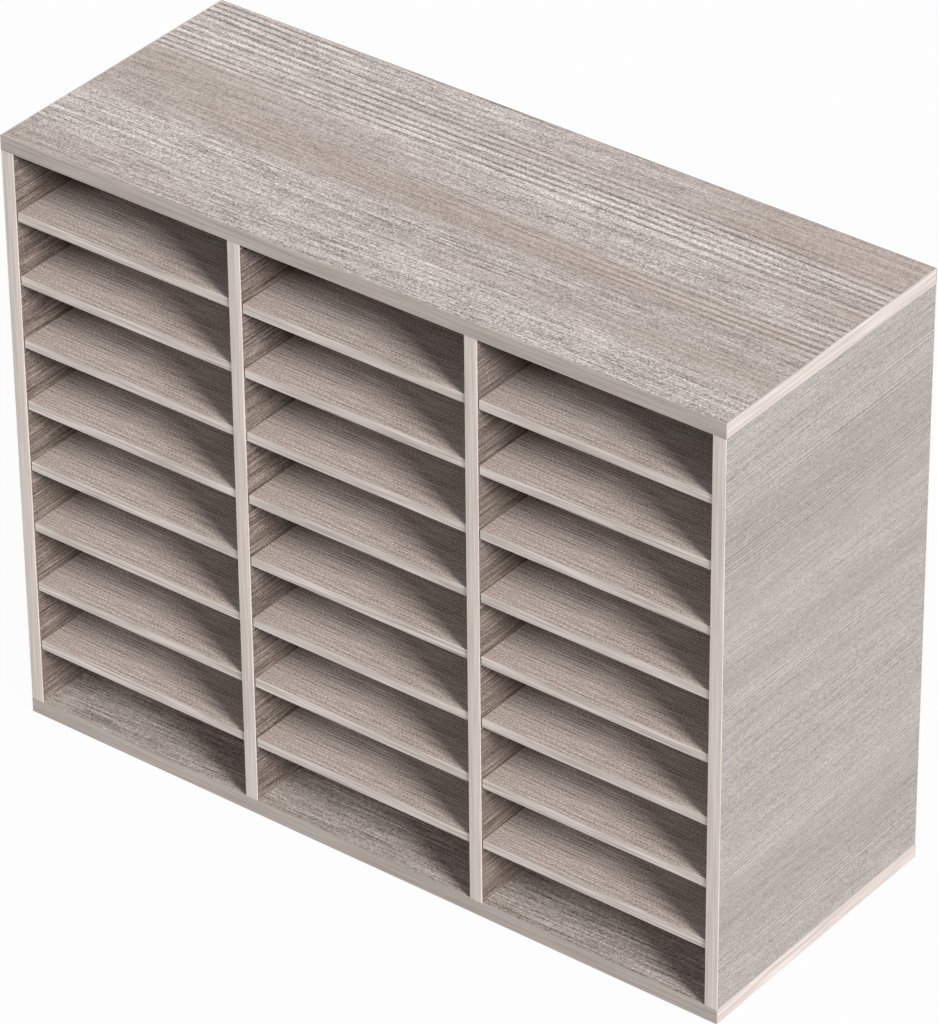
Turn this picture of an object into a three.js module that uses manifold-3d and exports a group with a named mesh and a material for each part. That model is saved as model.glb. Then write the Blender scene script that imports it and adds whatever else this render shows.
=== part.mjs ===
// Pigeonhole mail sorter: a desk-top carcass of melamine-faced board with three bays,
// each holding eight loose shelves on pins, and a hardboard back let into grooves.
// Millimetres, +Z up, front towards -Y, origin on the floor under the middle of the carcass.

import * as THREE from "three";
import { mergeVertices } from "three/addons/utils/BufferGeometryUtils.js";
import Module from "manifold-3d";

const wasm = await Module();
wasm.setup();

// Driving dimensions
const BAYS = ["left", "middle", "right"];
const BAY_WIDTH = 237.6; // clear width between two uprights
const DEPTH = 298; // front edge to rear edge of the carcass
const BOARD = 15; // thickness of the top and the bottom
const UPRIGHT_BOARD = 13; // thickness of the sides and the dividers
const SHELF_BOARD = 9; // thickness of the loose shelves
const BACK_BOARD = 3; // thickness of the hardboard back
const SHELVES_PER_BAY = 8;
const SHELF_PITCH = 64; // two steps of the 32 mm cabinet drilling grid
const END_GAP = 58.5; // clear height of the lowest and of the highest pigeonhole
const EDGE_RADIUS = 1; // rounding of an edge-banded edge

// Clearances
const GAP = 0.3; // between a fitting or a groove and what sits in it
const SHELF_SIDE_GAP = 1; // shelf end to upright, so that the shelf lifts out
const SHELF_RECESS = 1.5; // shelf front behind the carcass front
const SHELF_REAR_GAP = 1.5; // shelf rear edge to the back

// Back panel groove
const BACK_INSET = 8; // rear edge of the carcass to the back panel
const GROOVE_DEPTH = 6;

// Shelf pins, driven into the uprights and joined to them
const PIN_RADIUS = 2.5;
const PIN_REACH = 7.5; // out of the upright's face
const PIN_SETBACK = 50; // from the shelf's front and rear edges

// Cam fittings that pull the top down on the uprights
const CAM_RADIUS = 7.5;
const CAM_DEPTH = 11;
const CAM_DROP = 34; // cam axis below the upright's top end
const CAM_SLOT = { length: 9, width: 1.6, depth: 2 };
const BOLT = { thread: 2.5, shank: 3.2, neck: 1.8, head: 3, bite: 10, neckLength: 7, headLength: 3.5 };

// Screws driven up through the bottom into the uprights
const SCREW = { head: 4.75, shank: 3.4, thread: 2.5, length: 50, rim: 0.8, cone: 2.4, point: 2 };
const SCREW_SOCKET = { radius: 2.2, depth: 3 };
const SCREW_SINK = 0.3; // head below the underside

// Both kinds of fitting stand in the same two rows, front and rear
const FITTING_ROWS = { front: -DEPTH / 2 + 70, rear: DEPTH / 2 - 79 };

const ROUND_STEPS = 3; // facets in a quarter of a rounded edge
const ROUND_SIDES = 16; // sides of a turned fitting
const PIN_SIDES = 12; // sides of a shelf pin

// Sizes worked out from the driving dimensions
const WIDTH = BAYS.length * BAY_WIDTH + (BAYS.length + 1) * UPRIGHT_BOARD;
const UPRIGHT_HEIGHT = 2 * END_GAP + (SHELVES_PER_BAY - 1) * SHELF_PITCH + SHELF_BOARD;
const HEIGHT = UPRIGHT_HEIGHT + 2 * BOARD;
const FRONT = -DEPTH / 2;
const REAR = DEPTH / 2;
const BACK_FACE = REAR - BACK_INSET - BACK_BOARD; // inner face of the back panel
const SHELF_FRONT = FRONT + SHELF_RECESS;
const SHELF_REAR = BACK_FACE - SHELF_REAR_GAP;
const PIN_ROWS = [SHELF_FRONT + PIN_SETBACK, SHELF_REAR - PIN_SETBACK];
const TOP_UNDERSIDE = HEIGHT - BOARD;

const bayCentre = (bay) => (bay - (BAYS.length - 1) / 2) * (BAY_WIDTH + UPRIGHT_BOARD);
const shelfUnderside = (level) => BOARD + END_GAP + level * SHELF_PITCH;

// The four uprights from left to right: where each stands, the faces that carry shelves
// (-1 is its left face, +1 its right face), and the face that its cams are let into.
const UPRIGHTS = [
  { name: "left_side", node: "left_side_panel", shelfFaces: [1], camFace: 1 },
  { name: "left_divider", node: "left_divider", shelfFaces: [-1, 1], camFace: 1 },
  { name: "right_divider", node: "right_divider", shelfFaces: [-1, 1], camFace: -1 },
  { name: "right_side", node: "right_side_panel", shelfFaces: [-1], camFace: -1 },
].map((upright, i) => ({ ...upright, x: (i - BAYS.length / 2) * (BAY_WIDTH + UPRIGHT_BOARD) }));

// Materials
const melamine = new THREE.MeshStandardMaterial({ color: 0xb5a99f, roughness: 0.55, metalness: 0 });
const hardboard = new THREE.MeshStandardMaterial({ color: 0xa79b90, roughness: 0.7, metalness: 0 });
const zinc = new THREE.MeshStandardMaterial({ color: 0xb9bbbd, roughness: 0.4, metalness: 0.9 });
const steel = new THREE.MeshStandardMaterial({ color: 0xc4b27a, roughness: 0.35, metalness: 0.9 });

// Booleans: a closed geometry becomes a solid, and a solid becomes a geometry again.
function solidOf(geometry) {
  const bare = geometry.clone();
  bare.deleteAttribute("normal");
  bare.deleteAttribute("uv");
  const merged = mergeVertices(bare, 1e-4);
  return new wasm.Manifold(
    new wasm.Mesh({
      numProp: 3,
      vertProperties: new Float32Array(merged.attributes.position.array),
      triVerts: new Uint32Array(merged.index.array),
    }),
  );
}

function cut(geometry, cutters, added = []) {
  let solid = solidOf(geometry);
  for (const piece of added) solid = solid.add(solidOf(piece));
  for (const cutter of cutters) solid = solid.subtract(solidOf(cutter));
  const mesh = solid.getMesh();
  return new THREE.BufferGeometry()
    .setAttribute("position", new THREE.BufferAttribute(mesh.vertProperties, 3))
    .setIndex(new THREE.BufferAttribute(mesh.triVerts, 1));
}

// A box between two corners.
function block(low, high) {
  const size = high.map((value, axis) => value - low[axis]);
  const middle = high.map((value, axis) => (value + low[axis]) / 2);
  return new THREE.BoxGeometry(...size).translate(...middle);
}

// A round bar along X, from x0 to x1.
function crossBar(radius, x0, x1, y, z, sides) {
  return new THREE.CylinderGeometry(radius, radius, Math.abs(x1 - x0), sides)
    .rotateZ(Math.PI / 2)
    .translate((x0 + x1) / 2, y, z);
}

// A turned fitting along +Z from [radius, z] pairs that start and end on the axis.
function turned(profile, grow = 0) {
  const last = profile.length - 1;
  const points = profile.map(([radius, z], i) => {
    const end = i <= 1 ? -grow : i >= last - 1 ? grow : 0;
    return new THREE.Vector2(radius > 0 ? radius + grow : 0, z + end);
  });
  return new THREE.LatheGeometry(points, ROUND_SIDES).rotateX(Math.PI / 2);
}

// Outline of a board's section: the front edge, at u = 0, has rounded corners.
function frontRoundedSection(depth, thickness) {
  const r = EDGE_RADIUS;
  const shape = new THREE.Shape();
  shape.moveTo(depth, 0);
  shape.lineTo(depth, thickness);
  shape.lineTo(r, thickness);
  shape.absarc(r, thickness - r, r, Math.PI / 2, Math.PI, false);
  shape.lineTo(0, r);
  shape.absarc(r, r, r, Math.PI, 1.5 * Math.PI, false);
  shape.closePath();
  return shape;
}

// A flat board with a rounded front edge: its section runs along X, from its front left lower corner.
function shelfBoard(width, depth, thickness) {
  const geometry = new THREE.ExtrudeGeometry(frontRoundedSection(depth, thickness), {
    depth: width,
    bevelEnabled: false,
    curveSegments: ROUND_STEPS,
  });
  const alongX = new THREE.Matrix4().makeBasis(
    new THREE.Vector3(0, 1, 0),
    new THREE.Vector3(0, 0, 1),
    new THREE.Vector3(1, 0, 0),
  );
  return geometry.applyMatrix4(alongX);
}

// An upright board with a rounded front edge, centred on x = 0, from z = 0 up.
function uprightBoard(depth, thickness, height) {
  const geometry = new THREE.ExtrudeGeometry(frontRoundedSection(depth, thickness), {
    depth: height,
    bevelEnabled: false,
    curveSegments: ROUND_STEPS,
  });
  const upright = new THREE.Matrix4().makeBasis(
    new THREE.Vector3(0, 1, 0),
    new THREE.Vector3(-1, 0, 0),
    new THREE.Vector3(0, 0, 1),
  );
  return geometry.applyMatrix4(upright).translate(thickness / 2, 0, 0);
}

// A flat board that is edge-banded all round, centred on x = y = 0, from z = 0 up.
function bandedBoard(width, depth, thickness) {
  const r = EDGE_RADIUS;
  const shape = new THREE.Shape();
  shape.moveTo(-width / 2 + r, -depth / 2 + r);
  shape.lineTo(width / 2 - r, -depth / 2 + r);
  shape.lineTo(width / 2 - r, depth / 2 - r);
  shape.lineTo(-width / 2 + r, depth / 2 - r);
  shape.closePath();
  return new THREE.ExtrudeGeometry(shape, {
    depth: thickness - 2 * r,
    bevelThickness: r,
    bevelSize: r,
    bevelSegments: ROUND_STEPS,
  }).translate(0, 0, r);
}

// Cam bolt: screwed up into the top, its head hangs in the cam. z = 0 is the cam's axis.
function boltProfile() {
  const { thread, shank, neck, head, bite, neckLength, headLength } = BOLT;
  const headTop = headLength / 2;
  const neckTop = headTop + neckLength;
  return [
    [0, -headTop],
    [head, -headTop],
    [head, headTop],
    [neck, headTop],
    [neck, neckTop],
    [shank, neckTop],
    [shank, CAM_DROP],
    [thread, CAM_DROP],
    [thread, CAM_DROP + bite],
    [0, CAM_DROP + bite],
  ];
}

// Hollow of the cam: it holds the bolt's head behind a lip and lets its neck out at the rim.
function camHollow() {
  const head = BOLT.head + GAP;
  const neck = BOLT.neck + GAP;
  const lip = BOLT.headLength / 2 + GAP;
  const rim = CAM_RADIUS + 1;
  return turned([[0, -lip], [head, -lip], [head, lip], [neck, lip], [neck, rim], [0, rim]]);
}

// Hole for the bolt's shank, from the cam's pocket to the upright's top end.
function shankHole() {
  const radius = BOLT.shank + GAP;
  return turned([[0, 0], [radius, 0], [radius, CAM_DROP + 1], [0, CAM_DROP + 1]]);
}

// Hole for the bolt's thread in the underside of the top.
function threadHole() {
  const radius = BOLT.thread + GAP;
  const end = BOLT.bite + GAP;
  return turned([[0, -1], [radius, -1], [radius, end], [0, end]]);
}

// Screw with a countersunk head at z = 0, point up.
function screwProfile() {
  const { head, shank, thread, length, rim, cone, point } = SCREW;
  return [
    [0, 0],
    [head, 0],
    [head, rim],
    [shank, rim + cone],
    [shank, BOARD],
    [thread, BOARD],
    [thread, length - point],
    [thread / 2, length],
    [0, length],
  ];
}

// Hole for the screw in the bottom and the upright, open at the underside.
function screwHole() {
  const sunk = screwProfile().map(([radius, z], i) => [radius, i < 2 ? z - SCREW_SINK - 1 : z]);
  return turned(sunk, GAP);
}

function mesh(name, geometry, material, x = 0, y = 0, z = 0) {
  const made = new THREE.Mesh(geometry, material);
  made.name = name;
  made.position.set(x, y, z);
  return made;
}

// Groove for the back panel, cut into the face of a top, bottom or side.
function backGroove(low, high) {
  return block(
    [low[0], BACK_FACE - GAP, low[1]],
    [high[0], BACK_FACE + BACK_BOARD + GAP, high[1]],
  );
}

// The top and bottom boards, with the groove and the fitting holes in their inner faces.
function endBoards() {
  const grooveEnd = WIDTH / 2 - UPRIGHT_BOARD + GROOVE_DEPTH;
  const spots = UPRIGHTS.flatMap(({ x }) => Object.values(FITTING_ROWS).map((y) => [x, y]));
  const bottom = cut(bandedBoard(WIDTH, DEPTH, BOARD), [
    backGroove([-grooveEnd, BOARD - GROOVE_DEPTH], [grooveEnd, BOARD + 1]),
    ...spots.map(([x, y]) => screwHole().translate(x, y, SCREW_SINK)),
  ]);
  const top = cut(bandedBoard(WIDTH, DEPTH, BOARD), [
    backGroove([-grooveEnd, -1], [grooveEnd, GROOVE_DEPTH]),
    ...spots.map(([x, y]) => threadHole().translate(x, y, 0)),
  ]);
  return [
    mesh("bottom_panel", bottom, melamine),
    mesh("top_panel", top, melamine, 0, 0, TOP_UNDERSIDE),
  ];
}

// The pins of one upright, two under each shelf end, with their tops level with the shelf's underside.
function shelfPins(shelfFaces) {
  const levels = Array.from({ length: SHELVES_PER_BAY }, (_, level) => level);
  const spots = shelfFaces.flatMap((side) => PIN_ROWS.flatMap((y) => levels.map((level) => [side, y, level])));
  return spots.map(([side, y, level]) => {
    const z = shelfUnderside(level) - PIN_RADIUS - BOARD;
    return crossBar(PIN_RADIUS, 0, side * (UPRIGHT_BOARD / 2 + PIN_REACH), y, z, PIN_SIDES);
  });
}

// One upright: sides run the full depth and hold the back in a groove, dividers stop at the back.
function uprightPanel({ node, x, shelfFaces, camFace }) {
  const isSide = shelfFaces.length === 1;
  const depth = isSide ? DEPTH : BACK_FACE - GAP - FRONT;
  const face = camFace * (UPRIGHT_BOARD / 2);
  const cutters = [];
  for (const y of Object.values(FITTING_ROWS)) {
    const camZ = UPRIGHT_HEIGHT - CAM_DROP;
    const pocketEnd = face - camFace * (CAM_DEPTH + GAP);
    cutters.push(crossBar(CAM_RADIUS + GAP, pocketEnd, face + camFace, y, camZ, ROUND_SIDES));
    cutters.push(shankHole().translate(0, y, camZ));
    cutters.push(screwHole().translate(0, y, SCREW_SINK - BOARD));
  }
  if (isSide) {
    const floor = face - camFace * GROOVE_DEPTH;
    const xs = [floor, face + camFace].sort((a, b) => a - b);
    cutters.push(backGroove([xs[0], -1], [xs[1], UPRIGHT_HEIGHT + 1]));
  }
  const board = uprightBoard(depth, UPRIGHT_BOARD, UPRIGHT_HEIGHT).translate(0, FRONT, 0);
  return mesh(node, cut(board, cutters, shelfPins(shelfFaces)), melamine, x, 0, BOARD);
}

// The hardboard back stands in the grooves of the top, bottom and sides.
function backPanel() {
  const reach = GROOVE_DEPTH - GAP;
  const halfWidth = WIDTH / 2 - UPRIGHT_BOARD + reach;
  const geometry = block(
    [-halfWidth, BACK_FACE, BOARD - reach],
    [halfWidth, BACK_FACE + BACK_BOARD, TOP_UNDERSIDE + reach],
  );
  return mesh("back_panel", geometry, hardboard);
}

// Cam lock along X, its driven face flush with the upright's face at x = 0, its body towards -X.
function camLock() {
  const { length, width, depth } = CAM_SLOT;
  const body = crossBar(CAM_RADIUS, -CAM_DEPTH, 0, 0, 0, ROUND_SIDES);
  const slots = [
    block([-depth, -length / 2, -width / 2], [1, length / 2, width / 2]),
    block([-depth, -width / 2, -length / 2], [1, width / 2, length / 2]),
  ];
  return cut(body, [...slots, camHollow().translate(-UPRIGHT_BOARD / 2, 0, 0)]);
}

function baseScrew() {
  const { radius, depth } = SCREW_SOCKET;
  const socket = new THREE.CylinderGeometry(radius, radius, 2 * depth, 6).rotateX(Math.PI / 2);
  return cut(turned(screwProfile()), [socket]);
}

// The fittings of one upright: two cams with their bolts at the top, two screws at the bottom.
function fittings({ name, x, camFace }) {
  const turn = camFace > 0 ? 0 : Math.PI;
  return Object.entries(FITTING_ROWS).flatMap(([row, y]) => {
    const camZ = TOP_UNDERSIDE - CAM_DROP;
    const cam = mesh(`cam_lock_${name}_${row}`, camLock(), zinc, x + camFace * (UPRIGHT_BOARD / 2), y, camZ);
    cam.rotation.z = turn;
    const bolt = mesh(`cam_bolt_${name}_${row}`, turned(boltProfile()), steel, x, y, camZ);
    const screw = mesh(`base_screw_${name}_${row}`, baseScrew(), steel, x, y, SCREW_SINK);
    return [cam, bolt, screw];
  });
}

// The loose shelves of one bay, numbered from the lowest.
function bayShelves(bayName, bay) {
  const group = new THREE.Group();
  group.position.x = bayCentre(bay);
  const width = BAY_WIDTH - 2 * SHELF_SIDE_GAP;
  for (let level = 0; level < SHELVES_PER_BAY; level++) {
    const board = shelfBoard(width, SHELF_REAR - SHELF_FRONT, SHELF_BOARD);
    const name = `shelf_${bayName}_${level + 1}`;
    group.add(mesh(name, board, melamine, -width / 2, SHELF_FRONT, shelfUnderside(level)));
  }
  return group;
}

const sorter = new THREE.Group();
sorter.add(...endBoards(), ...UPRIGHTS.map(uprightPanel), backPanel());
sorter.add(...UPRIGHTS.flatMap(fittings));
sorter.add(...BAYS.map(bayShelves));

export default sorter;
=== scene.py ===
# %% [markdown]
# # A pigeonhole mail sorter in grey oak melamine
# The sorter is a desk-top case of melamine-faced chipboard: a top and a bottom, two sides, two dividers, a
# thin back, and twenty-four loose shelves on steel pins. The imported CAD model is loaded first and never
# moved. It says where every board is, and this script gives each board its print, its edge bands and its
# fittings.

# %% Load the frame
import math
import bpy
import numpy as np
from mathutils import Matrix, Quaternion, Vector


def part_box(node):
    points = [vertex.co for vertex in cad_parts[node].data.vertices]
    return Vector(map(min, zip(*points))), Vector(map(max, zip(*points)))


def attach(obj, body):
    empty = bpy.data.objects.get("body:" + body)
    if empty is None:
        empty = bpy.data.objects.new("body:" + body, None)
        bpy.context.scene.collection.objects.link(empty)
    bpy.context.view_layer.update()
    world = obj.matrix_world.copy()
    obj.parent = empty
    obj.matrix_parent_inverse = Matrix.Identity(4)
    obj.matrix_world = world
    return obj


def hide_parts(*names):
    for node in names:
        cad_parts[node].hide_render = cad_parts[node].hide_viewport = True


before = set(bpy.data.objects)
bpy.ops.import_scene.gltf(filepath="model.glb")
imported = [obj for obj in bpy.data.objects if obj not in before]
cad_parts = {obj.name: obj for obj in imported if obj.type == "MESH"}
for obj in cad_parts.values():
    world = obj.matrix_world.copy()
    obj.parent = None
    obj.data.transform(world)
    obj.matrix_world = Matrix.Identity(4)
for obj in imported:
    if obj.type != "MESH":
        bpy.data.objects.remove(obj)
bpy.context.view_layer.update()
scene = bpy.context.scene
MM = 0.001

# %% [markdown]
# ## Camera
# The picture was taken from well to the right and above, through a long lens, so that parallel edges stay
# nearly parallel. A camera could be placed by eye, but edges only line up when it stands where the
# photographer stood: these numbers come from fitting a camera to the straight edges of the boards.

# %% Camera
EYE = Vector((2.813, -3.597, 3.310))
AIM = Vector((0.0073, -0.0015, 0.2934))
ROLL_DEG = 0.6
LENS_MM = 221.8
SENSOR_MM = 36

camera = bpy.data.objects.new("camera", bpy.data.cameras.new("camera"))
camera.data.lens = LENS_MM
camera.data.sensor_width = SENSOR_MM
camera.location = EYE
camera.rotation_mode = "QUATERNION"
sight = AIM - EYE
camera.rotation_quaternion = Quaternion(sight, math.radians(ROLL_DEG)) @ sight.to_track_quat("-Z", "Y")
scene.collection.objects.link(camera)
scene.camera = camera
scene.view_settings.view_transform = "Standard"
print("camera to the middle of the sorter:", round(sight.length, 3), "m")

# %% [markdown]
# ## Colours and nodes
# A hex colour is written as the eye sees it, while a shader wants light in proportion, so one function undoes
# the display curve. Another adds a node, sets its properties and links its inputs, which keeps each material
# below to the order in which the real finish is built up.

# %% Colour and node helpers
def linear(hex_colour):
    """Linear RGBA of an sRGB hex colour: each channel to about the power 2.4, and straight near black."""
    channel = np.array([int(hex_colour[k : k + 2], 16) for k in (1, 3, 5)]) / 255
    light = np.where(channel <= 0.04045, channel / 12.92, ((channel + 0.055) / 1.055) ** 2.4)
    return (*light.tolist(), 1.0)


def add(tree, kind, settings=(), inputs=()):
    """Adds a node: settings are its properties, and inputs go to its sockets, by name or number or in order.

    An input is a constant, an output of another node, or that node itself, which stands for its first output.
    """
    node = tree.nodes.new("ShaderNode" + kind)
    for name, value in dict(settings).items():
        setattr(node, name, value)
    for socket, value in inputs.items() if isinstance(inputs, dict) else enumerate(inputs):
        source = value.outputs[0] if isinstance(value, bpy.types.Node) else value
        if isinstance(source, bpy.types.NodeSocket):
            tree.links.new(source, node.inputs[socket])
        else:
            node.inputs[socket].default_value = source
    return node


def new_tree(name):
    """An empty material of that name, and its node tree."""
    material = bpy.data.materials.new(name)
    material.use_nodes = True
    material.node_tree.nodes.clear()
    return material, material.node_tree


print("a mid grey, #808080, is", round(linear("#808080")[0], 3), "of white in light")

# %% [markdown]
# ## Studio light and floor
# The shelves are bright only along their front edges, and each pigeonhole has a dark wedge in its right
# corner: the main light stands far to the right, not high, and is about as wide as a big softbox. A sun lamp
# with a wide angle gives just that at every shelf alike. The sky light fills the rest, and a weak lamp from
# behind keeps the back readable. The floor is white to the camera and keeps a faint shadow.

# %% Lamps
def sun(name, right_deg, up_deg, level, width_deg):
    """A distant lamp, right_deg to the right of the front and up_deg high; level 1 shows white as white."""
    lamp = bpy.data.lights.new(name, "SUN")
    lamp.energy = math.pi * level
    lamp.angle = math.radians(width_deg)
    side, high = math.radians(right_deg), math.radians(up_deg)
    flat = math.cos(high)
    towards = Vector((math.sin(side) * flat, -math.cos(side) * flat, math.sin(high)))
    holder = bpy.data.objects.new(name, lamp)
    holder.rotation_mode = "QUATERNION"
    holder.rotation_quaternion = towards.to_track_quat("Z", "Y")
    scene.collection.objects.link(holder)


sun("softbox_right", right_deg=71, up_deg=25, level=1.4, width_deg=18)
sun("fill_front", right_deg=-25, up_deg=15, level=0.22, width_deg=28)
sun("fill_behind", right_deg=-135, up_deg=18, level=0.35, width_deg=50)

# %% Sky
SKY_LEVEL = 0.3


def background_rays(tree):
    """1 for a ray that shows the backdrop, straight, mirrored or through glass, and 0 for any other light."""
    ray = add(tree, "LightPath").outputs
    seen = add(tree, "Math", {"operation": "MAXIMUM"}, [ray["Is Camera Ray"], ray["Is Glossy Ray"]])
    return add(tree, "Math", {"operation": "MAXIMUM"}, [seen, ray["Is Transmission Ray"]])


world = bpy.data.worlds.new("studio")
world.use_nodes = True
tree = world.node_tree
tree.nodes.clear()
level = add(tree, "MapRange", {}, {"Value": background_rays(tree), "To Min": SKY_LEVEL, "To Max": 1.0})
add(tree, "OutputWorld", {}, {"Surface": add(tree, "Background", {}, {"Strength": level})})
scene.world = world
print("sky at", SKY_LEVEL, "of white")

# %% Floor
FLOOR_HALF = 30.0
FLOOR_DROP = 0.2 * MM
FLOOR_WHITE = 0.97

floor_material, tree = new_tree("matt_white_paper")
share = add(tree, "Math", {"operation": "MULTIPLY"}, [background_rays(tree), FLOOR_WHITE])
paper = add(tree, "BsdfDiffuse", {}, {"Color": linear("#b4b2b0")})
glow = add(tree, "Emission", {}, {"Color": linear("#ffffff"), "Strength": 1.0})
add(tree, "OutputMaterial", {}, {"Surface": add(tree, "MixShader", {}, [share, paper, glow])})

corner = np.array([[-1, -1], [1, -1], [1, 1], [-1, 1]]) * FLOOR_HALF
floor_mesh = bpy.data.meshes.new("floor")
floor_mesh.from_pydata(np.column_stack([corner, np.full(4, -FLOOR_DROP)]).tolist(), [], [[0, 1, 2, 3]])
floor_mesh.materials.append(floor_material)
floor = bpy.data.objects.new("floor", floor_mesh)
scene.collection.objects.link(floor)
print("floor:", 2 * FLOOR_HALF, "m square")

# %% [markdown]
# ## The oak print
# Melamine board wears a sheet of paper printed like oak and pressed under a clear matt resin. Close up the
# print is layers along the grain: broad grey zones and calm tan patches, groups of evenly spaced growth
# lines, threads, short fibres and a fine speckle of pores. Growth lines are a sine wave across the grain;
# every other layer is a noise whose cells are long along the grain and narrow across it, sized in
# millimetres. The across coordinate is bent first, so that all lines of a board bend together. A `cut`
# vector stored on every board says where on the endless sheet it was cut.

# %% Oak print
FIGURE = (  # length along the grain and width across it in mm, and how strongly the layer shows
    (300, 4.2, 0.05),  # long lines
    (90, 1.4, 0.8),  # threads
    (30, 1.2, 0.9),  # fibres: under half a millimetre on the real print, drawn as wide as a pixel shows
)
SPECKLE_MM = (2.0, 1.1)  # pores: drawn about twice as coarse as they are, so that they show
ZONE_MM = (600, 38)
TAN_MM = (650, 50)
TAN = "#dccfc6"
TAN_EDGE = (0.38, 0.64)  # where in its noise a tan patch begins and is full
TAN_SHIFT = 75 * MM  # keeps the patches off the growth lines of the top
CALM = 0.45  # how much calmer the detail is in a tan patch of strength 1
BEND_MM, BEND_REACH = (550, 120), 50 * MM
WOBBLE_MM, WOBBLE_REACH = (80, 20), 0.8 * MM
DRIFT_MM, DRIFT_LINES = 600, 4  # growth lines that drift together, and over which length
LINE_DRIFT = 1.5  # periods by which they may leave their even place
VALLEY = (-0.2, -1.0, 0.0, -1.0)  # a range of the sine, and the tone of a line that it becomes
CREST = (-0.2, 0.8, 0.0, 0.75)
BREAK_MM, BREAK = 60, (0.35, 0.6, 0.85, 1.0)  # where a line fades for a short length
GROUP_MM, GROUP_EDGE = 900, (0.44, 0.6)  # length of a group of lines, and where in its noise it begins
FAINT = 0.1  # what is left of the lines between the groups
SHEETS_PER_M = 90  # noise cells through the board, so that its two faces differ
RESIN_ROUGH = (0.66, 0.48)  # in the pores, and on the ridges between them


def oak_print(name, grain, shades, lines, line_mm, group_mm, zones, tan, figure, speckle, wave):
    """Printed oak melamine. grain names the axes along the grain, across it and through the board.

    The tone is 0.5 plus a weighted sum of layers, and a ramp of shades, dark to light, colours it. A growth
    line is the narrow valley and the wide crest of a sine of period line_mm, and shows in groups, group_mm
    wide. In a tan patch the threads, fibres and pores are weaker, and the colour is multiplied by tan. lines,
    zones, tan, figure and speckle say how strongly each layer shows, and wave how far the grain bends.
    """
    material, tree = new_tree(name)
    cut = add(tree, "Attribute", {"attribute_name": "cut"}).outputs["Vector"]
    place = add(tree, "VectorMath", {"operation": "ADD"}, [add(tree, "TexCoord").outputs["Object"], cut])
    at = add(tree, "SeparateXYZ", {}, [place]).outputs
    along, straight, through = (at[axis] for axis in grain)

    def layer(across, length_mm, width_mm):
        """A layer of the print: noise with cells of that length along the grain and that width across it."""
        point = add(tree, "CombineXYZ", {}, [along, across, through])
        cells = (1 / (length_mm * MM), 1 / (width_mm * MM), SHEETS_PER_M)
        scaled = add(tree, "Mapping", {}, {"Vector": point, "Scale": cells})
        return add(tree, "TexNoise", {}, {"Vector": scaled, "Scale": 1.0, "Detail": 0.0})

    def laid_on(base, pattern, weight):
        """The base plus weight times the pattern, which is measured from its middle value of 0.5."""
        from_middle = add(tree, "Math", {"operation": "SUBTRACT"}, [pattern, 0.5])
        return add(tree, "Math", {"operation": "MULTIPLY_ADD"}, [from_middle, weight, base])

    # A Map Range node below takes a value, the range it comes in and the range it goes to, in that order.
    bent = laid_on(straight, layer(straight, *BEND_MM), wave * BEND_REACH)
    bent = laid_on(bent, layer(straight, *WOBBLE_MM), wave * WOBBLE_REACH)
    turn = add(tree, "Math", {"operation": "MULTIPLY"}, [bent, 2 * math.pi / (line_mm * MM)])
    turn = laid_on(turn, layer(bent, DRIFT_MM, DRIFT_LINES * line_mm), 2 * math.pi * LINE_DRIFT)
    ring = add(tree, "Math", {"operation": "SINE"}, [turn])
    valley = add(tree, "MapRange", {}, [ring, *VALLEY])
    crest = add(tree, "MapRange", {}, [ring, *CREST])
    line = add(tree, "Math", {"operation": "ADD"}, [valley, crest])
    broken = add(tree, "MapRange", {}, [layer(bent, BREAK_MM, line_mm), *BREAK])
    line = add(tree, "Math", {"operation": "MULTIPLY"}, [line, broken])
    group = add(tree, "MapRange", {}, [layer(bent, GROUP_MM, group_mm), *GROUP_EDGE, FAINT * lines, lines])
    tone = add(tree, "Math", {"operation": "MULTIPLY_ADD"}, [line, group, 0.5])
    tone = laid_on(tone, layer(bent, *ZONE_MM), zones)
    detail = 0.0
    for length_mm, width_mm, weight in FIGURE:
        detail = laid_on(detail, layer(bent, length_mm, width_mm), weight * figure)
    detail = laid_on(detail, layer(bent, *SPECKLE_MM), speckle)
    patch = layer(add(tree, "Math", {"operation": "ADD"}, [bent, TAN_SHIFT]), *TAN_MM)
    calm = add(tree, "MapRange", {}, [patch, *TAN_EDGE, 1.0 + CALM * tan, 1.0 - CALM * tan])
    tone = add(tree, "Math", {"operation": "MULTIPLY_ADD"}, [detail, calm, tone])

    ramp = add(tree, "ValToRGB", {}, [tone])
    stops = ramp.color_ramp.elements
    for k, shade in enumerate(shades):
        stop = stops[k] if k < 2 else stops.new(1.0)  # a new ramp has two stops
        stop.position = k / (len(shades) - 1)
        stop.color = linear(shade)
    share = add(tree, "MapRange", {}, [patch, *TAN_EDGE, 0.0, tan])
    tanned = {0: share, 6: ramp.outputs["Color"], 7: linear(TAN)}
    colour = add(tree, "Mix", {"data_type": "RGBA", "blend_type": "MULTIPLY"}, tanned).outputs[2]
    rough = add(tree, "MapRange", {}, [tone, 0.0, 1.0, *RESIN_ROUGH])
    bump = add(tree, "Bump", {}, {"Strength": 0.2, "Distance": 0.1 * MM, "Height": tone})
    finish = {"Base Color": colour, "Roughness": rough, "Normal": bump, "IOR": 1.5}
    add(tree, "OutputMaterial", {}, {"Surface": add(tree, "BsdfPrincipled", {}, finish)})
    return material


print("figure of the print in mm:", [(length, width) for length, width, _ in FIGURE], "pores:", SPECKLE_MM)
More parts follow.
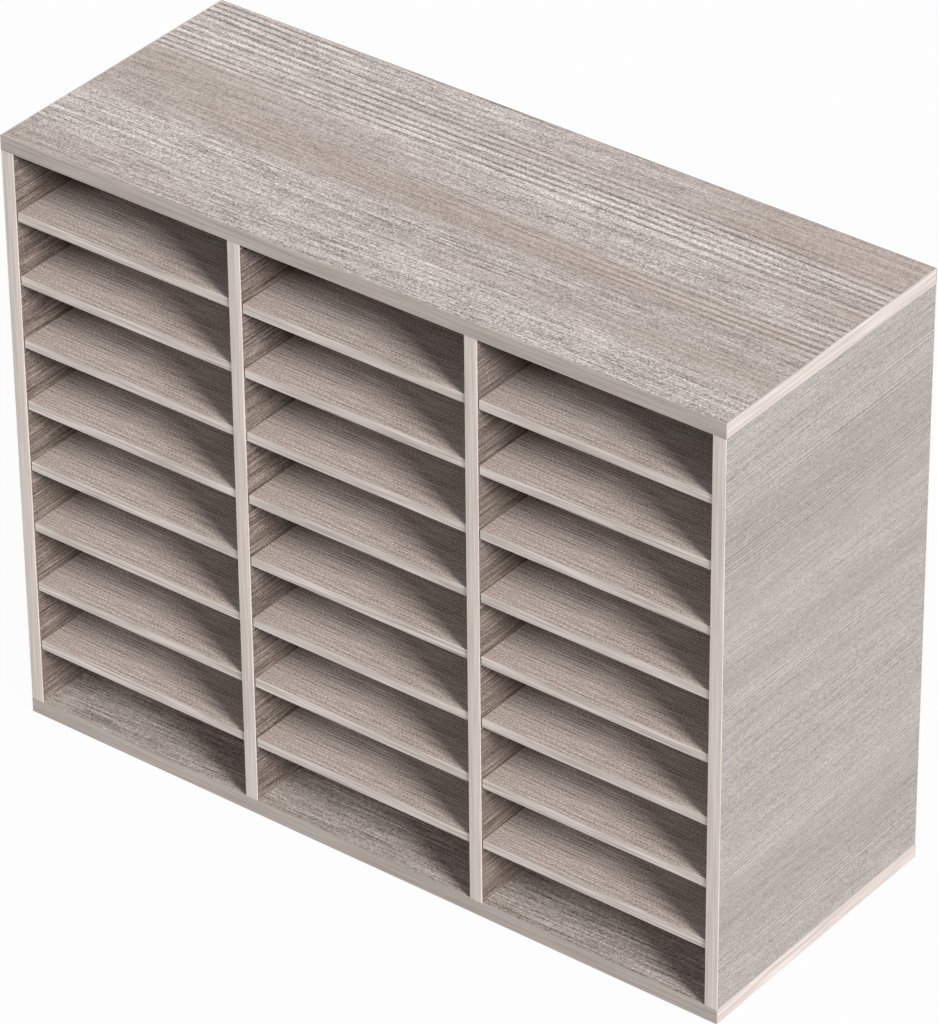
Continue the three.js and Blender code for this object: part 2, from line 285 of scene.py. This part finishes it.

# %% [markdown]
# ## One print per kind of board
# All boards wear the same oak, but the sheets differ: the top shows wide growth lines and tan patches, the
# outer sides close lines, the shelves hardly any. Their shades differ too, and that is painted light and
# shade:
# the shelves are lighter than the top, painted light, as the main light falls on them at a low angle; the
# outer sides are darker, painted shade against the main light that they face; the floor of the lowest
# pigeonholes keeps the top's shades, darker than the shelves', as painted shade; and the underside of the
# top, the inner faces of the uprights and the inside of the back wear the darkest shades, painted shade. One
# function with a strength for each layer makes them all, so that they stay one family. Matt resin has no
# mirror image, only a soft sheen at a low angle, and its embossed pores are a little duller than the ridges
# between them.

# %% Oak prints
FLAT_GRAIN = "XYZ"  # axes along the grain, across it and through the board
UPRIGHT_GRAIN = "YZX"
BACK_GRAIN = "XZY"
TOP_OAK = ["#695e58", "#91867f", "#b2a7a1", "#ccc2bd", "#e8e1de"]
# lighter than the top's shades: painted light on the shelves, which the main light meets at a low angle
SHELF_OAK_PAINTED_LIGHT = ["#796a5f", "#a29389", "#c4b6ae", "#dbd0ca", "#f4ede9"]
# darker than the top's shades: painted shade on the outer sides, which face the main light
SIDE_OAK_PAINTED_SHADE = ["#5a5451", "#7c7571", "#99928e", "#ada8a5", "#c5c2c0"]
# the darkest shades: painted shade inside the pigeonholes and under the top
INNER_OAK_PAINTED_SHADE = ["#322a26", "#554a44", "#6f635c", "#867a72", "#a79b92"]
top_oak = oak_print(
    "melamine_oak_print_top", FLAT_GRAIN, TOP_OAK,
    lines=0.25, line_mm=8.5, group_mm=68, zones=0.16, tan=0.5, figure=0.6, speckle=0.96, wave=0.3)
# the top's shades on the floor of the lowest pigeonholes, darker than the shelves': painted shade
bottom_oak_painted_shade = oak_print(
    "melamine_oak_print_bottom_painted_shade", FLAT_GRAIN, TOP_OAK,
    lines=0.05, line_mm=5.0, group_mm=40, zones=0.05, tan=0.1, figure=0.8, speckle=1.0, wave=0.5)
# the darkest shades under the top: painted shade over the top row of pigeonholes
under_oak_painted_shade = oak_print(
    "melamine_oak_print_under_painted_shade", FLAT_GRAIN, INNER_OAK_PAINTED_SHADE,
    lines=0.05, line_mm=5.0, group_mm=40, zones=0.05, tan=0.1, figure=0.8, speckle=1.0, wave=0.5)
# painted light: a lighter copy of the top's print
shelf_oak_painted_light = oak_print(
    "melamine_oak_print_shelf_painted_light", FLAT_GRAIN, SHELF_OAK_PAINTED_LIGHT,
    lines=0.06, line_mm=5.0, group_mm=40, zones=0.05, tan=0.1, figure=0.85, speckle=1.1, wave=0.25)
# painted shade: the outer face of a side, darker than the top
side_oak_painted_shade = oak_print(
    "melamine_oak_print_side_painted_shade", UPRIGHT_GRAIN, SIDE_OAK_PAINTED_SHADE,
    lines=0.13, line_mm=3.3, group_mm=14, zones=0.17, tan=0.22, figure=0.28, speckle=0.52, wave=0.3)
# painted shade: the inner faces of the uprights
inner_oak_painted_shade = oak_print(
    "melamine_oak_print_inner_painted_shade", UPRIGHT_GRAIN, INNER_OAK_PAINTED_SHADE,
    lines=0.08, line_mm=4.0, group_mm=32, zones=0.06, tan=0.1, figure=0.95, speckle=0.9, wave=0.1)
# painted shade: the inside of the back, in the darkest shades
back_oak_painted_shade = oak_print(
    "hardboard_oak_print_back_painted_shade", BACK_GRAIN, INNER_OAK_PAINTED_SHADE,
    lines=0.15, line_mm=6.0, group_mm=48, zones=0.1, tan=0.15, figure=0.8, speckle=0.6, wave=0.5)
print("oak prints:", [m.name for m in bpy.data.materials if "oak_print" in m.name])

# %% [markdown]
# ## Edge bands
# A raw chipboard edge is covered by a strip of plain plastic, ironed on and rounded over. It is extruded, so
# it has faint streaks along its length, and it is smoother than the print, so it has a little more sheen.

# %% Edge band
STREAK_MM = (90, 2.2)  # length along the run and width across it
THREADS_PER_STREAK = 2.3
THREAD_SHARE = 0.5
BAND_TONES = (0.55, 0.95)  # sums of both noises that give the darker and the lighter shade
BAND_ROUGH = (0.38, 0.56)


def edge_band(name, run, shades):
    """Extruded edge strip: a coarse and a fine noise, with cells long along the run, mix two shades."""
    material, tree = new_tree(name)
    place = add(tree, "TexCoord").outputs["Object"]
    cells = np.where(np.array(list("XYZ")) == run, *(1 / (size * MM) for size in STREAK_MM))
    coarse = add(tree, "Mapping", {}, {"Vector": place, "Scale": cells.tolist()})
    fine = add(tree, "Mapping", {}, {"Vector": place, "Scale": (THREADS_PER_STREAK * cells).tolist()})
    streak = add(tree, "TexNoise", {}, {"Vector": coarse, "Scale": 1.0, "Detail": 1.0})
    thread = add(tree, "TexNoise", {}, {"Vector": fine, "Scale": 1.0, "Detail": 1.0})
    both = add(tree, "Math", {"operation": "MULTIPLY_ADD"}, [thread, THREAD_SHARE, streak])
    tone = add(tree, "MapRange", {}, {"Value": both, "From Min": BAND_TONES[0], "From Max": BAND_TONES[1]})
    mixed = {0: tone, 6: linear(shades[0]), 7: linear(shades[1])}
    colour = add(tree, "Mix", {"data_type": "RGBA"}, mixed).outputs[2]
    rough = add(tree, "MapRange", {}, {"Value": thread, "To Min": BAND_ROUGH[0], "To Max": BAND_ROUGH[1]})
    bump = add(tree, "Bump", {}, {"Strength": 0.15, "Distance": 0.05 * MM, "Height": tone})
    finish = {"Base Color": colour, "Roughness": rough, "Normal": bump, "IOR": 1.5}
    add(tree, "OutputMaterial", {}, {"Surface": add(tree, "BsdfPrincipled", {}, finish)})
    return material


case_band = edge_band("extruded_abs_band_case", "X", ["#9c928b", "#b2a8a2"])
end_band = edge_band("extruded_abs_band_ends", "Y", ["#aea39d", "#cdc2be"])
upright_band = edge_band("extruded_abs_band_uprights", "Z", ["#c0b5ae", "#d3c9c3"])
shelf_band = edge_band("extruded_abs_band_shelves", "X", ["#a79d95", "#d6cdc6"])
print("edge bands:", [m.name for m in bpy.data.materials if "band" in m.name])

# %% [markdown]
# ## Chipboard and hardboard
# Where no band is, on the ends and the rear of a shelf, the board shows its chips, pale and dark and a few
# millimetres long. The back is hardboard, wood fibre pressed to a sheet: printed inside, and behind one warm
# brown, mottled by its fibres. Both are quite without gloss.

# %% Chipboard and hardboard
DUST_SHARE = 0.45
DUST_PER_CHIP = 2.5


def pressed_wood(name, chip_mm, shades, roughness):
    """Pressed wood: cells of a Voronoi pattern, each in a shade between two colours, under a fine noise."""
    material, tree = new_tree(name)
    place = add(tree, "TexCoord").outputs["Object"]
    chips = add(tree, "Mapping", {}, {"Vector": place, "Scale": [1 / (size * MM) for size in chip_mm]})
    cell = add(tree, "TexVoronoi", {}, {"Vector": chips, "Scale": 1.0}).outputs["Color"]
    dust = add(tree, "TexNoise", {}, {"Vector": chips, "Scale": DUST_PER_CHIP, "Detail": 3.0})
    tone = add(tree, "Mix", {}, {0: DUST_SHARE, 2: add(tree, "SeparateColor", {}, [cell]), 3: dust})
    mixed = {0: tone, 6: linear(shades[0]), 7: linear(shades[1])}
    colour = add(tree, "Mix", {"data_type": "RGBA"}, mixed).outputs[2]
    bump = add(tree, "Bump", {}, {"Strength": 0.4, "Distance": 0.2 * MM, "Height": tone})
    finish = {"Base Color": colour, "Roughness": roughness, "Normal": bump}
    add(tree, "OutputMaterial", {}, {"Surface": add(tree, "BsdfPrincipled", {}, finish)})
    return material


chipboard = pressed_wood("chipboard_sawn_edge", (3.2, 3.2, 1.1), ["#8f6f4b", "#d3b68b"], 0.85)
hardboard = pressed_wood("hardboard_wet_pressed_back", (5.0, 2.0, 5.0), ["#6d4c31", "#8b6646"], 0.8)
print("bare wood:", chipboard.name, hardboard.name)

# %% [markdown]
# ## Metals
# The cams are die-cast zinc, dull and slightly mottled by the mould. The bolts and screws are zinc-plated
# steel with a yellowish passivation. The shelf pins are turned steel under bright nickel, with fine rings
# left by the lathe. One function covers all three, because they differ in colour, in roughness and in how
# the marks are stretched.

# %% Metals
def metal(name, marks_mm, shades, roughness):
    """Metal: a noise with cells of marks_mm along x, y and z mixes two shades and two roughnesses."""
    material, tree = new_tree(name)
    place = add(tree, "TexCoord").outputs["Object"]
    cells = add(tree, "Mapping", {}, {"Vector": place, "Scale": [1 / (size * MM) for size in marks_mm]})
    mark = add(tree, "TexNoise", {}, {"Vector": cells, "Scale": 1.0, "Detail": 3.0})
    mixed = {0: mark, 6: linear(shades[0]), 7: linear(shades[1])}
    colour = add(tree, "Mix", {"data_type": "RGBA"}, mixed).outputs[2]
    rough = add(tree, "MapRange", {}, {"Value": mark, "To Min": roughness[0], "To Max": roughness[1]})
    bump = add(tree, "Bump", {}, {"Strength": 0.2, "Distance": 0.05 * MM, "Height": mark})
    finish = {"Base Color": colour, "Metallic": 1.0, "Roughness": rough, "Normal": bump}
    add(tree, "OutputMaterial", {}, {"Surface": add(tree, "BsdfPrincipled", {}, finish)})
    return material


zinc = metal("zinc_die_cast", (1.5, 1.5, 1.5), ["#8f9193", "#bcbec0"], (0.38, 0.6))
plated_steel = metal("steel_yellow_zinc_plated", (0.8, 0.8, 0.3), ["#a8975f", "#d8cba0"], (0.25, 0.45))
nickel = metal("steel_turned_nickel_plated", (0.25, 4.0, 4.0), ["#b5afa6", "#d9d4cb"], (0.18, 0.32))
print("metals:", zinc.name, plated_steel.name, nickel.name)

# %% [markdown]
# ## Building with sections
# Boards and bands are straight: a section drawn once and carried along one axis. That could be a cube scaled
# to size, but a section also has the broken corners, the rounded band and the groove for the back. Two rings
# of points and the quads between them make the piece, and a flat face closes each end.

# %% Sections carried along an axis
AXES = "xyz"


def sweep(run, start, stop, **section):
    """Two rings of a straight piece: the closed section, given by its two coordinates, at start and at stop.

    The loop is turned, if need be, to run anticlockwise about the run axis, so that faces point outwards.
    """
    k = AXES.index(run)
    first, second = AXES[(k + 1) % 3], AXES[(k + 2) % 3]
    loop = np.column_stack([section[first], section[second]])
    ahead = np.roll(loop, -1, axis=0)
    if np.sum(loop[:, 0] * ahead[:, 1] - ahead[:, 0] * loop[:, 1]) < 0:
        loop = loop[::-1]
    rings = np.empty((2, len(loop), 3))
    rings[:, :, k] = np.array([[start], [stop]])
    rings[:, :, (k + 1) % 3] = loop[:, 0]
    rings[:, :, (k + 2) % 3] = loop[:, 1]
    return rings


def lathe(run, profile, sides):
    """Rings of a turned piece about the run axis: the profile is pairs of a place along it and a radius."""
    k = AXES.index(run)
    along, radius = np.array(profile).T[:, :, None]
    turn = np.linspace(0, 2 * np.pi, sides, endpoint=False)
    rings = np.empty((len(along), sides, 3))
    rings[:, :, k] = along
    rings[:, :, (k + 1) % 3] = radius * np.cos(turn)
    rings[:, :, (k + 2) % 3] = radius * np.sin(turn)
    return rings


def loft(rings):
    """Points and faces of a tube: a quad from each point of a ring to the next ring, and both ends filled."""
    count, around = rings.shape[:2]
    number = np.arange(count * around).reshape(count, around)
    ahead = np.roll(number, -1, axis=1)
    quads = np.stack([number[:-1], ahead[:-1], ahead[1:], number[1:]], axis=-1).reshape(-1, 4)
    ends = np.stack([number[0, ::-1], number[-1]])
    return rings.reshape(-1, 3), [quads, ends]


def copies(shape, places, sides):
    """Copies of a shape in one: each is turned half round about z where its side is -1, then moved."""
    points, faces = shape
    turn = np.column_stack([sides, sides, np.ones(len(sides))])
    moved = points[None] * turn[:, None] + np.asarray(places)[:, None]
    shift = np.arange(len(places))[:, None, None] * len(points)
    return moved.reshape(-1, 3), [(face[None] + shift).reshape(-1, face.shape[1]) for face in faces]


print("a square bar has", len(loft(lathe("z", [(0, 1), (1, 1)], 4))[0]), "points")

# %% [markdown]
# ## From points to pieces
# Every piece becomes a mesh with its place in its points, smooth where it is round and sharp where it is
# square. It then rides on a body of the model, so that it moves with it. Holes are cut by a Boolean modifier,
# applied at once: drilling is how the real holes are made too.

# %% Pieces, faces and holes
SHARP = math.radians(35)
FACING = 0.8  # cosine from which a face counts as looking along an axis


def new_mesh(name, shape):
    """A mesh of points and face arrays."""
    points, faces = shape
    mesh = bpy.data.meshes.new(name)
    mesh.from_pydata(points.tolist(), [], [face for group in faces for face in group.tolist()])
    return mesh


def finish_mesh(mesh, cut):
    """Smooths what is round, and stores where on the printed sheet the piece was cut on all its points."""
    mesh.shade_smooth()
    mesh.set_sharp_from_angle(angle=SHARP)
    layer = mesh.attributes.get("cut") or mesh.attributes.new("cut", "FLOAT_VECTOR", "POINT")
    layer.data.foreach_set("vector", np.tile(np.float32(cut), len(mesh.vertices)))


def piece(name, shape, materials, body, cut=(0, 0, 0), replaced=()):
    """A finished object from points and face arrays, riding on its body."""
    mesh = new_mesh(name, shape)
    finish_mesh(mesh, cut)
    for material in materials:
        mesh.materials.append(material)
    made = bpy.data.objects.new(name, mesh)
    scene.collection.objects.link(made)
    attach(made, body)
    if replaced:
        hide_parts(*replaced)
    return made


def paint(made, axis, low, high, edge):
    """Gives faces looking down the axis the material number low, those looking up it high, the rest edge."""
    mesh = made.data
    normal = np.empty(3 * len(mesh.polygons))
    mesh.polygons.foreach_get("normal", normal)
    along = normal.reshape(-1, 3)[:, AXES.index(axis)]
    index = np.where(along < -FACING, low, np.where(along > FACING, high, edge))
    mesh.polygons.foreach_set("material_index", index.astype(np.int32))


def drill(made, shape):
    """Cuts a closed shape out of a piece for good, and gives the new points the piece's own cut."""
    cut = made.data.attributes["cut"].data[0].vector[:]
    cutter = bpy.data.objects.new("drill", new_mesh("drill", shape))
    scene.collection.objects.link(cutter)
    modifier = made.modifiers.new("drill", "BOOLEAN")
    modifier.object = cutter
    made.data = bpy.data.meshes.new_from_object(made.evaluated_get(bpy.context.evaluated_depsgraph_get()))
    made.modifiers.clear()
    bpy.data.objects.remove(cutter)
    finish_mesh(made.data, cut)


print("corners sharper than", round(math.degrees(SHARP)), "degrees stay sharp")

# %% [markdown]
# ## Boards
# Every board is a sheet with sharp, barely broken corners. The top and bottom are cut 1 mm short on all four
# edges and the uprights and shelves at the front, to leave room for the bands. A groove near the rear edge of
# the outer boards holds the back.

# %% Board sections
BAND = 1.0 * MM
BAND_ROUND = 0.4 * MM
ARRIS = 0.15 * MM
GROOVE_DEPTH = 6.0 * MM
GROOVE_PLAY = 0.3 * MM
ROUND_STEPS = 6
CARCASS = "carcass"

back_low, back_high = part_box("back_panel")
GROOVE = (back_low.y - GROOVE_PLAY, back_high.y + GROOVE_PLAY)


def board_section(front, rear, grooved, plain, groove=None):
    """Section of a board from its front to its rear edge and from its grooved to its plain face.

    It is a rectangle with its corners cut off by an arris, and a square notch in the grooved face.
    """
    up = math.copysign(1.0, plain - grooved)
    notch = [] if groove is None else [
        (groove[0], grooved), (groove[0], grooved + up * GROOVE_DEPTH),
        (groove[1], grooved + up * GROOVE_DEPTH), (groove[1], grooved),
    ]
    loop = [(front + ARRIS, grooved), *notch, (rear - ARRIS, grooved), (rear, grooved + up * ARRIS),
            (rear, plain - up * ARRIS), (rear - ARRIS, plain), (front + ARRIS, plain),
            (front, plain - up * ARRIS), (front, grooved + up * ARRIS)]
    return np.array(loop).T


def band_section(inner, outer, low, high):
    """Section of a band from its glued to its outer face: a rectangle whose outer corners are rounded."""
    out = math.copysign(1.0, outer - inner)
    turn = np.linspace(0, np.pi / 2, ROUND_STEPS + 1)
    centre = outer - out * BAND_ROUND
    depth = np.concatenate([[inner], centre + out * BAND_ROUND * np.sin(turn),
                            centre + out * BAND_ROUND * np.cos(turn), [inner]])
    across = np.concatenate([[low], low + BAND_ROUND * (1 - np.cos(turn)),
                             high - BAND_ROUND * (1 - np.sin(turn)), [high]])
    return depth, across


print("back groove from", GROOVE[0], "to", GROOVE[1])

# %% [markdown]
# ## Top and bottom
# The two largest boards lie over and under the uprights, so their banded ends show at the sides, and the
# bands of the long edges run past those of the short ones. Screws come up through the bottom: each needs a
# countersunk hole, cut out by a turned shape, while the screw itself stays the CAD solid.

# %% Top and bottom
# height and radius of a screw's hole, from below the board up: head, cone and shank, each with some play
SCREW_HOLE = [(-1 * MM, 5.05 * MM), (1.4 * MM, 5.05 * MM), (3.8 * MM, 3.7 * MM), (20 * MM, 3.7 * MM)]
HOLE_SIDES = 48


def nodes_called(start):
    """Names of the CAD nodes that begin so, in order."""
    return sorted(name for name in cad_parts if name.startswith(start))


def middle(node):
    """The middle of a CAD node's box."""
    low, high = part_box(node)
    return (low + high) / 2


def case_board(node, grooved_up, inside, sheet):
    """The top or the bottom: board, two long bands over the full width and two end bands between them.

    inside is the print of the grooved face, which looks into the pigeonholes; on both boards it is a darker
    copy of the oak than the shelves wear, painted shade.
    """
    low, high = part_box(node)
    faces = (high.z, low.z) if grooved_up else (low.z, high.z)
    y, z = board_section(low.y + BAND, high.y - BAND, *faces, GROOVE)
    board = piece(node + "_board", loft(sweep("x", low.x + BAND, high.x - BAND, y=y, z=z)),
                  [top_oak, inside, chipboard], CARCASS,
                  cut=(0, 0, sheet / SHEETS_PER_M), replaced=[node])
    for place, inner, outer in (("front", low.y + BAND, low.y), ("rear", high.y - BAND, high.y)):
        y, z = band_section(inner, outer, low.z, high.z)
        piece(f"{node}_{place}_band", loft(sweep("x", low.x, high.x, y=y, z=z)), [case_band],
              CARCASS)
    for place, inner, outer in (("left", low.x + BAND, low.x), ("right", high.x - BAND, high.x)):
        x, z = band_section(inner, outer, low.z, high.z)
        piece(f"{node}_{place}_band", loft(sweep("y", low.y + BAND, high.y - BAND, x=x, z=z)), [end_band],
              CARCASS)
    return board


# the underside of the top wears painted shade
top = case_board("top_panel", grooved_up=False, inside=under_oak_painted_shade, sheet=15)
# the floor of the lowest pigeonholes wears painted shade
bottom = case_board("bottom_panel", grooved_up=True, inside=bottom_oak_painted_shade, sheet=8)
screws = [(middle(node).x, middle(node).y, 0) for node in nodes_called("base_screw_")]
drill(bottom, copies(loft(lathe("z", SCREW_HOLE, HOLE_SIDES)), screws, np.ones(len(screws))))
paint(top, "z", 1, 0, 2)
paint(bottom, "z", 0, 1, 2)

# %% [markdown]
# ## Uprights
# Two sides and two dividers stand between the top and the bottom. Their grain runs from front to rear, as the
# side of the sorter shows. A round pocket near the top of each holds a cam, and is drilled out of the board.
# Inside, an upright wears the darkest print, painted shade for the shade in the pigeonholes. Outside, a side
# wears a paler print, yet darker than the top's, also painted shade, because that face looks straight into
# the main light.

# %% Uprights
PIN_REACH = 7.5 * MM
CAM_RADIUS = 7.5 * MM
CAM_PLAY = 0.3 * MM
cam_low, cam_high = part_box(nodes_called("cam_lock_")[0])
CAM_DEPTH = cam_high.x - cam_low.x


def cams_between(left, right):
    """Name, place and side of each cam between two faces: it is flush with the face that it is nearer to."""
    boxes = [(node, *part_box(node)) for node in nodes_called("cam_lock_")]
    inside = [(node, low, high) for node, low, high in boxes if left < (low.x + high.x) / 2 < right]
    sides = [1 if right - high.x < low.x - left else -1 for _, low, high in inside]
    return [(node, ((left, right)[side > 0], (low.y + high.y) / 2, (low.z + high.z) / 2), side)
            for (node, low, high), side in zip(inside, sides)]


def upright(node, outward, sheet):
    """A side or a divider: grain front to rear, a band on the front edge and, on a side, one on the rear.

    outward is -1 or +1 for the side whose outer face looks that way along x, and 0 for a divider. The CAD
    node's box also holds the shelf pins, which stand out of every inner face. Returns the x of both faces.
    """
    low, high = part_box(node)
    left = low.x if outward < 0 else low.x + PIN_REACH
    right = high.x if outward > 0 else high.x - PIN_REACH
    inner, outer = (right, left) if outward < 0 else (left, right)
    rear = high.y - BAND if outward else high.y
    y, x = board_section(low.y + BAND, rear, inner, outer, GROOVE if outward else None)
    # the inner faces wear painted shade, and the outer face of a side a darker copy, also painted shade
    board = piece(node + "_board", loft(sweep("z", low.z, high.z, x=x, y=y)),
                  [inner_oak_painted_shade, side_oak_painted_shade, chipboard], CARCASS,
                  cut=(sheet / SHEETS_PER_M, 0, 0), replaced=[node])
    _, places, sides = zip(*cams_between(left, right))
    pocket = [(-CAM_DEPTH - CAM_PLAY, CAM_RADIUS + CAM_PLAY), (CAM_PLAY, CAM_RADIUS + CAM_PLAY)]
    drill(board, copies(loft(lathe("x", pocket, HOLE_SIDES)), places, sides))
    paint(board, "x", 1 if outward < 0 else 0, 1 if outward > 0 else 0, 2)
    edges = [("front", low.y + BAND, low.y)] + ([("rear", rear, high.y)] if outward else [])
    for place, glued, face in edges:
        y, x = band_section(glued, face, left, right)
        piece(f"{node}_{place}_band", loft(sweep("z", low.z, high.z, x=x, y=y)), [upright_band],
              CARCASS)
    return left, right


faces = [
    upright("left_side_panel", outward=-1, sheet=1),
    upright("left_divider", outward=0, sheet=2),
    upright("right_divider", outward=0, sheet=4),
    upright("right_side_panel", outward=1, sheet=6),
]
print("upright faces in mm:", [[round(x / MM, 1) for x in pair] for pair in faces])

# %% [markdown]
# ## Shelves
# Each loose shelf is a thin board with a band along its front edge only. Its ends and its rear edge stay
# sawn, and the chips show there once the shelf is drawn out. One mesh could serve all, but each piece keeps
# its place in its own points, so every shelf is built from the box of its CAD node. All are cut alike, and
# carry the same piece of the print.

# %% Shelves
SHELF_SHEET = 11
for node in nodes_called("shelf_"):
    low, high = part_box(node)
    y, z = board_section(low.y + BAND, high.y, low.z, high.z)
    # the shelves wear painted light, a lighter copy of the print
    board = piece(node + "_board", loft(sweep("x", low.x, high.x, y=y, z=z)), [shelf_oak_painted_light, chipboard],
                  node,
                  cut=(-middle(node).x, 0, SHELF_SHEET / SHEETS_PER_M - high.z), replaced=[node])
    paint(board, "z", 0, 0, 1)
    y, z = band_section(low.y + BAND, low.y, low.z, high.z)
    piece(node + "_band", loft(sweep("x", low.x, high.x, y=y, z=z)), [shelf_band], node)
print("shelves:", len(nodes_called("shelf_")))

# %% [markdown]
# ## Back
# A thin sheet in the grooves closes the rear. A plain cube would do, but the section of the boards also gives
# it broken corners. It is printed on the inside only, in the darkest print, which is painted shade, so its
# two faces get two materials.

# %% Back
y, z = board_section(back_low.y, back_high.y, back_low.z, back_high.z)
back = piece("back_panel_sheet", loft(sweep("x", back_low.x, back_high.x, y=y, z=z)),
             [back_oak_painted_shade, hardboard], CARCASS, replaced=["back_panel"])
paint(back, "y", 0, 1, 1)
print("back sheet:", back.name)

# %% [markdown]
# ## Shelf pins
# Four steel pins carry each shelf, two at each end. A pin is a turned bar with a rounded nose, so it is a
# profile spun about its axis; the copies for one shelf make one piece, and those at the right end are turned
# half round.

# %% Shelf pins
PIN_RADIUS = 2.5 * MM
PIN_SETBACK = 50 * MM
PIN_ROOT = 1 * MM  # of it inside the board
PIN_SIDES = 24
NOSE = 0.8 * MM
turn = np.linspace(0, np.pi / 2, ROUND_STEPS)
nose = np.column_stack([PIN_REACH - NOSE + NOSE * np.sin(turn), PIN_RADIUS - NOSE + NOSE * np.cos(turn)])
pin = loft(lathe("x", [(-PIN_ROOT, PIN_RADIUS), *nose], PIN_SIDES))
walls = zip(("left", "middle", "right"), faces[:-1], faces[1:])
for bay, (_, left), (right, _) in walls:
    for node in nodes_called(f"shelf_{bay}_"):
        low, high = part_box(node)
        rows = (low.y + PIN_SETBACK, high.y - PIN_SETBACK)
        places = [(x, y, low.z - PIN_RADIUS) for x in (left, right) for y in rows]
        piece(node.replace("shelf", "pins"), copies(pin, places, [1, 1, -1, -1]), [nickel],
              CARCASS)
print("pins:", 4 * len(nodes_called("shelf_")), "of", len(pin[0]), "points each")

# %% [markdown]
# ## Cams, bolts and screws
# Turning a cam in the wall of an upright pulls the head of a bolt down and the top with it. The cam's face
# has a cross recess for a screwdriver. It is a turned disc whose face points are pushed in wherever they lie
# in one of the two arms of the cross. The bolts and screws are hidden in the boards, so their CAD solids
# only get their plating.

# %% Cams, bolts and screws
ARM_LENGTH = 4.5 * MM
ARM_HALF = 0.8 * MM
ARM_DEPTH = 2.0 * MM
RIM = 0.4 * MM
CAM_SIDES = 120
FACE_RINGS = 28
CAM_CENTRE = 0.3 * MM  # radius at which a flat cap takes over from the rings
face_radii = np.linspace(CAM_RADIUS - RIM, CAM_CENTRE, FACE_RINGS)
profile = [(-CAM_DEPTH, CAM_RADIUS), (-RIM, CAM_RADIUS), *[(0.0, radius) for radius in face_radii]]
rings = lathe("x", profile, CAM_SIDES)
across = np.abs(rings[..., 1:])
in_arm = np.clip((ARM_HALF - across.min(axis=-1)) / RIM + 0.5, 0, 1)
in_reach = np.clip((ARM_LENGTH - across.max(axis=-1)) / RIM + 0.5, 0, 1)
rings[2:, :, 0] -= (ARM_DEPTH * in_arm * in_reach)[2:]  # the first two rings are the wall of the disc
cam = loft(rings)
for left, right in faces:
    for node, place, side in cams_between(left, right):
        piece(node + "_cast", copies(cam, [place], [side]), [zinc], CARCASS, replaced=[node])
for node in nodes_called("cam_bolt_") + nodes_called("base_screw_"):
    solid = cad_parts[node].data
    solid.materials.clear()
    solid.materials.append(plated_steel)
print("cams:", len(nodes_called("cam_lock_")), "with a recess", ARM_DEPTH, "m deep")
